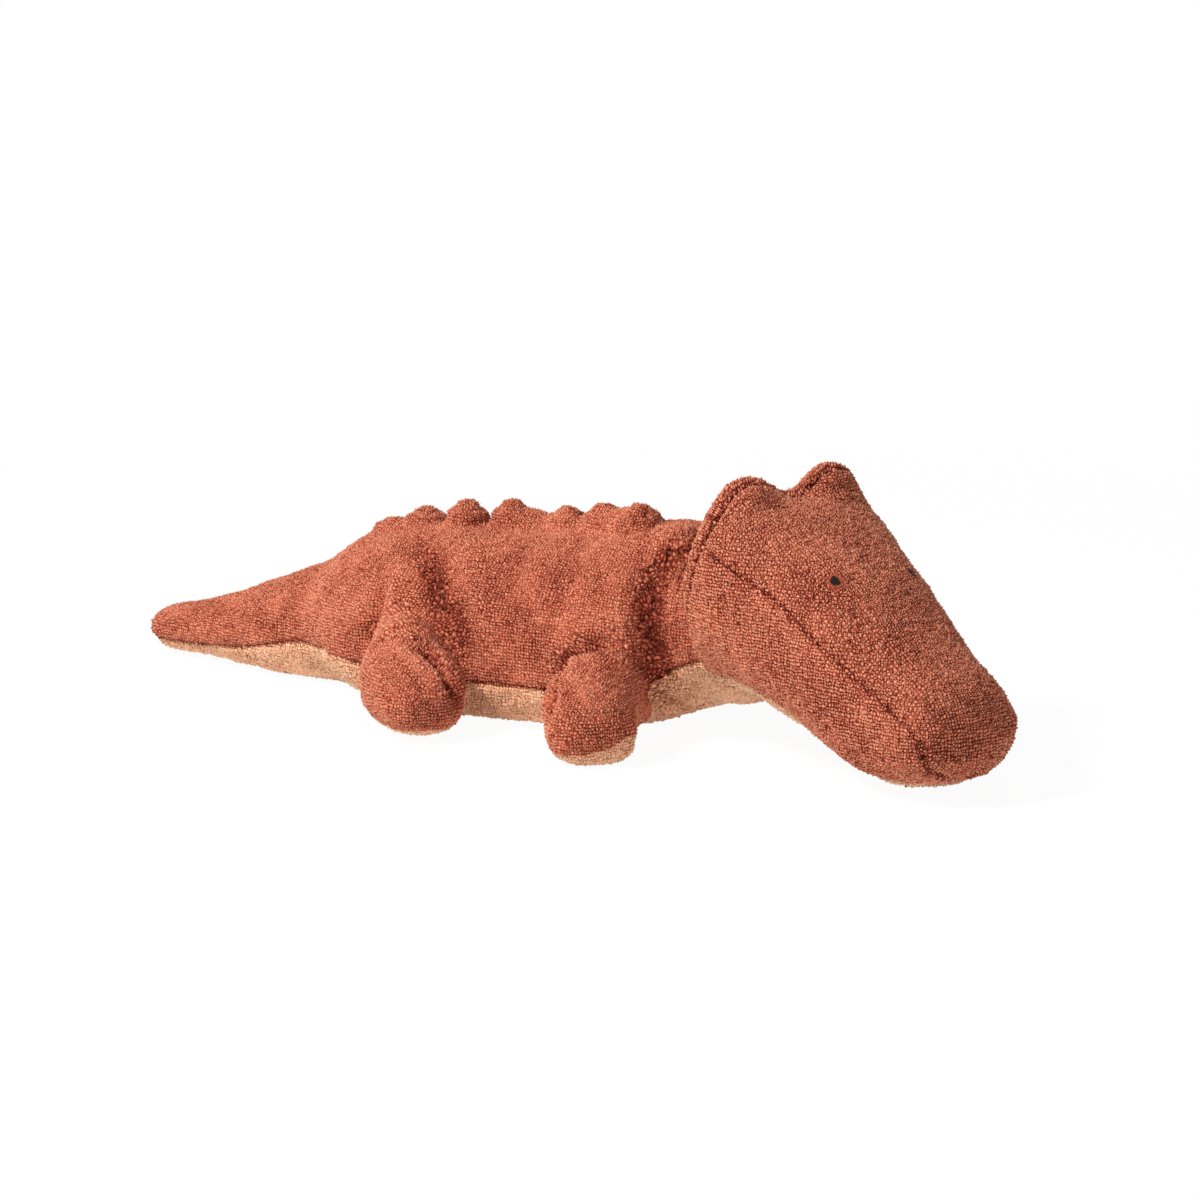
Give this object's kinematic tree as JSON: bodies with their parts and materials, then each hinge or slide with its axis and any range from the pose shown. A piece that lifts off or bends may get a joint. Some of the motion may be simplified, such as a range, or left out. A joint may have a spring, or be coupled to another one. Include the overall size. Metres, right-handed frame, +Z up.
{
  "type": "plush crocodile",
  "caption": "Stuffed terry cloth crocodile lying on its belly, with a turned and drooping head, stub legs, a tapering tail and small cones along its back.",
  "frame": {"origin": "on the floor under the middle of the belly", "axes": "+X from the tail towards the neck, +Y to the toy's left, +Z up from the floor"},
  "size_m": [0.5326, 0.224, 0.1354],
  "materials": {
    "terracotta_terry": "looped cotton terry",
    "sand_terry": "looped cotton terry",
    "fibre_fill": "matt polyester fibre",
    "black_thread": "satin stitch"
  },
  "bodies": {
    "torso": {"side_panel_left": "terracotta_terry", "side_panel_right": "terracotta_terry", "belly_panel": "sand_terry", "torso_stuffing": "fibre_fill", "scute_1": "terracotta_terry", "scute_2": "terracotta_terry", "scute_3": "terracotta_terry", "scute_4": "terracotta_terry", "scute_5": "terracotta_terry", "scute_6": "terracotta_terry", "scute_7": "terracotta_terry", "scute_8": "terracotta_terry"},
    "tail": {"tail_panel_left": "terracotta_terry", "tail_panel_right": "terracotta_terry", "tail_under_panel": "sand_terry", "tail_stuffing": "fibre_fill"},
    "leg_front_left": {"leg_front_left_upper": "terracotta_terry", "leg_front_left_sole": "sand_terry", "leg_front_left_stuffing": "fibre_fill"},
    "leg_front_right": {"leg_front_right_upper": "terracotta_terry", "leg_front_right_sole": "sand_terry", "leg_front_right_stuffing": "fibre_fill"},
    "leg_rear_left": {"leg_rear_left_upper": "terracotta_terry", "leg_rear_left_sole": "sand_terry", "leg_rear_left_stuffing": "fibre_fill"},
    "leg_rear_right": {"leg_rear_right_upper": "terracotta_terry", "leg_rear_right_sole": "sand_terry", "leg_rear_right_stuffing": "fibre_fill"},
    "neck": {"neck_stuffing": "fibre_fill"},
    "head": {"head_back_panel": "terracotta_terry", "head_top_gusset": "terracotta_terry", "head_side_left": "terracotta_terry", "head_side_right": "terracotta_terry", "chin_panel": "sand_terry", "head_stuffing": "fibre_fill", "eye_left": "black_thread", "eye_right": "black_thread"}
  },
  "joints": [
    {"name": "head_turn", "type": "hinge", "parent": "torso", "child": "neck", "pos_m": [0.101, 0, 0.057], "axis": [0, 0, 1], "range_deg": [-4, 40], "stiffness_Nm_per_rad": 0.4},
    {"name": "head_nod", "type": "hinge", "parent": "neck", "child": "head", "pos_m": [0.101, 0, 0.057], "axis": [-0.3987, -0.9171, 0], "range_deg": [0, 12], "stiffness_Nm_per_rad": 0.6},
    {"name": "tail_swing", "type": "hinge", "parent": "torso", "child": "tail", "pos_m": [-0.134, 0, 0.032], "axis": [0, 0, 1], "range_deg": [-20, 20], "stiffness_Nm_per_rad": 0.2},
    {"name": "leg_front_left_swing", "type": "hinge", "parent": "torso", "child": "leg_front_left", "pos_m": [0.056, 0.05333, 0.025], "axis": [0, 0, 1], "range_deg": [-15, 15], "stiffness_Nm_per_rad": 0.15},
    {"name": "leg_front_right_swing", "type": "hinge", "parent": "torso", "child": "leg_front_right", "pos_m": [0.056, -0.05333, 0.025], "axis": [0, 0, 1], "range_deg": [-15, 15], "stiffness_Nm_per_rad": 0.15},
    {"name": "leg_rear_left_swing", "type": "hinge", "parent": "torso", "child": "leg_rear_left", "pos_m": [-0.052, 0.05524, 0.025], "axis": [0, 0, 1], "range_deg": [-8, 15], "stiffness_Nm_per_rad": 0.15},
    {"name": "leg_rear_right_swing", "type": "hinge", "parent": "torso", "child": "leg_rear_right", "pos_m": [-0.052, -0.05524, 0.025], "axis": [0, 0, 1], "range_deg": [-15, 8], "stiffness_Nm_per_rad": 0.15}
  ]
}
